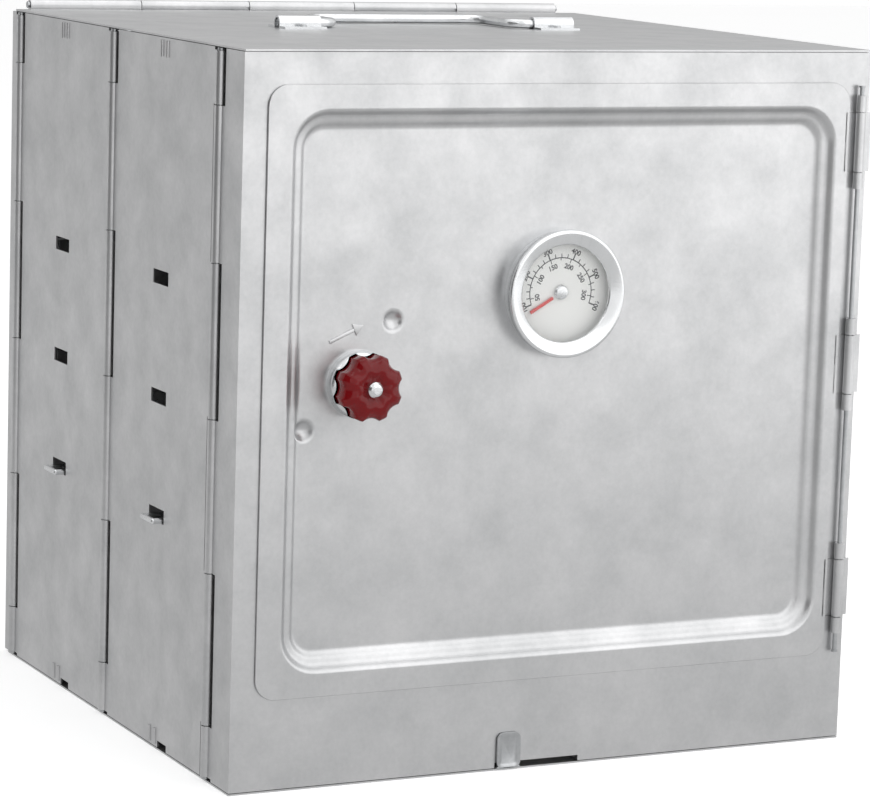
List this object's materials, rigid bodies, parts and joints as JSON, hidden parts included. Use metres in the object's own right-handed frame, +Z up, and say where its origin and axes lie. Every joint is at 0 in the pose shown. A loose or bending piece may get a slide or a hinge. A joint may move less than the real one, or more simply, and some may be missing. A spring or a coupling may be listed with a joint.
{
  "type": "folding camp oven",
  "caption": "Folding sheet-metal camp oven: hinged side walls fold inward like bellows, with hinged top and bottom, door with dial and knob latch, and a wire rack.",
  "frame": {"origin": "middle of the bounding box on the surface the oven stands on", "axes": "+X to the right as seen from the front, +Y from the door to the back, +Z up"},
  "size_m": [0.303, 0.2948, 0.3106],
  "materials": {
    "sheet": "aluminised steel sheet, satin",
    "bright_steel": "zinc plated, satin",
    "hinge_wire": "drawn wire, satin",
    "rack_wire": "plated, bright",
    "knob_red": "moulded phenolic, semi-gloss",
    "bezel": "turned, satin",
    "lens": "clear",
    "dial": "printed white, matte",
    "needle_red": "satin",
    "bimetal": "rolled strip"
  },
  "bodies": {
    "back": {"back_panel": "sheet", "rack_hooks": "bright_steel", "back_left_pin": "hinge_wire", "back_right_pin": "hinge_wire", "top_pin": "hinge_wire", "bottom_pin": "hinge_wire"},
    "rear_left": {"rear_left_leaf": "sheet", "rear_left_clip": "bright_steel", "mid_left_pin": "hinge_wire"},
    "front_left": {"front_left_leaf": "sheet", "front_left_clip": "bright_steel", "front_left_pin": "hinge_wire"},
    "rear_right": {"rear_right_leaf": "sheet", "rear_right_clip": "bright_steel", "mid_right_pin": "hinge_wire"},
    "front_right": {"front_right_leaf": "sheet", "front_right_clip": "bright_steel"},
    "front": {"front_frame": "sheet", "front_right_pin": "hinge_wire", "door_pin": "hinge_wire"},
    "door": {"door_panel": "sheet", "knob_skirt": "bright_steel", "gauge_bezel": "bezel", "gauge_lens": "lens", "gauge_dial": "dial", "gauge_cup": "bright_steel", "gauge_coil": "bimetal", "gauge_retainer": "hinge_wire"},
    "latch": {"latch_knob": "knob_red", "latch_shaft": "hinge_wire", "latch_finger": "bright_steel", "latch_washer": "hinge_wire"},
    "needle": {"gauge_needle": "needle_red"},
    "top": {"top_panel": "sheet", "handle_saddles": "bright_steel", "handle_rivets": "hinge_wire"},
    "handle": {"handle_bail": "hinge_wire"},
    "bottom": {"bottom_panel": "sheet", "bottom_clip": "bright_steel", "clip_rivet": "hinge_wire"},
    "rack": {"rack": "rack_wire"}
  },
  "joints": [
    {"name": "side_fold", "type": "hinge", "parent": "back", "child": "rear_left", "pos_m": [-0.146, 0.1322, 0.1525], "axis": [0, 0, 1], "range_deg": [0, 84]},
    {"name": "left_middle", "type": "hinge", "parent": "rear_left", "child": "front_left", "pos_m": [-0.146, 0.0122, 0.1525], "axis": [0, 0, 1], "range_deg": [-168, 0]},
    {"name": "left_front", "type": "hinge", "parent": "front_left", "child": "front", "pos_m": [-0.146, -0.1078, 0.1525], "axis": [0, 0, 1], "range_deg": [0, 84]},
    {"name": "right_rear", "type": "hinge", "parent": "back", "child": "rear_right", "pos_m": [0.146, 0.1322, 0.1525], "axis": [0, 0, 1], "range_deg": [-84, 0]},
    {"name": "right_middle", "type": "hinge", "parent": "rear_right", "child": "front_right", "pos_m": [0.146, 0.0122, 0.1525], "axis": [0, 0, 1], "range_deg": [0, 168]},
    {"name": "door_swing", "type": "hinge", "parent": "front", "child": "door", "pos_m": [0.1413, -0.1353, 0.165], "axis": [0, 0, 1], "range_deg": [0, 165]},
    {"name": "latch_turn", "type": "hinge", "parent": "door", "child": "latch", "pos_m": [-0.091, -0.1284, 0.168], "axis": [0, -1, 0], "range_deg": [0, 90]},
    {"name": "needle_turn", "type": "hinge", "parent": "door", "child": "needle", "pos_m": [0.0005, -0.1284, 0.2035], "axis": [0, 1, 0], "range_deg": [0, 240]},
    {"name": "top_swing", "type": "hinge", "parent": "back", "child": "top", "pos_m": [0, 0.1449, 0.3067], "axis": [-1, 0, 0], "range_deg": [0, 262]},
    {"name": "handle_lift", "type": "hinge", "parent": "top", "child": "handle", "pos_m": [0, 0.0052, 0.3073], "axis": [-1, 0, 0], "range_deg": [-180, 0]},
    {"name": "bottom_swing", "type": "hinge", "parent": "back", "child": "bottom", "pos_m": [0, 0.1449, 0.0025], "axis": [-1, 0, 0], "range_deg": [-225, 0]},
    {"name": "rack_tip", "type": "hinge", "parent": "back", "child": "rack", "pos_m": [0, 0.1362, 0.1036], "axis": [-1, 0, 0], "range_deg": [-90.5, 0]}
  ],
  "couplings": [
    {"joint": "left_middle", "follows": "side_fold", "ratio": -2},
    {"joint": "left_front", "follows": "side_fold", "ratio": 1},
    {"joint": "right_rear", "follows": "side_fold", "ratio": -1},
    {"joint": "right_middle", "follows": "side_fold", "ratio": 2}
  ]
}
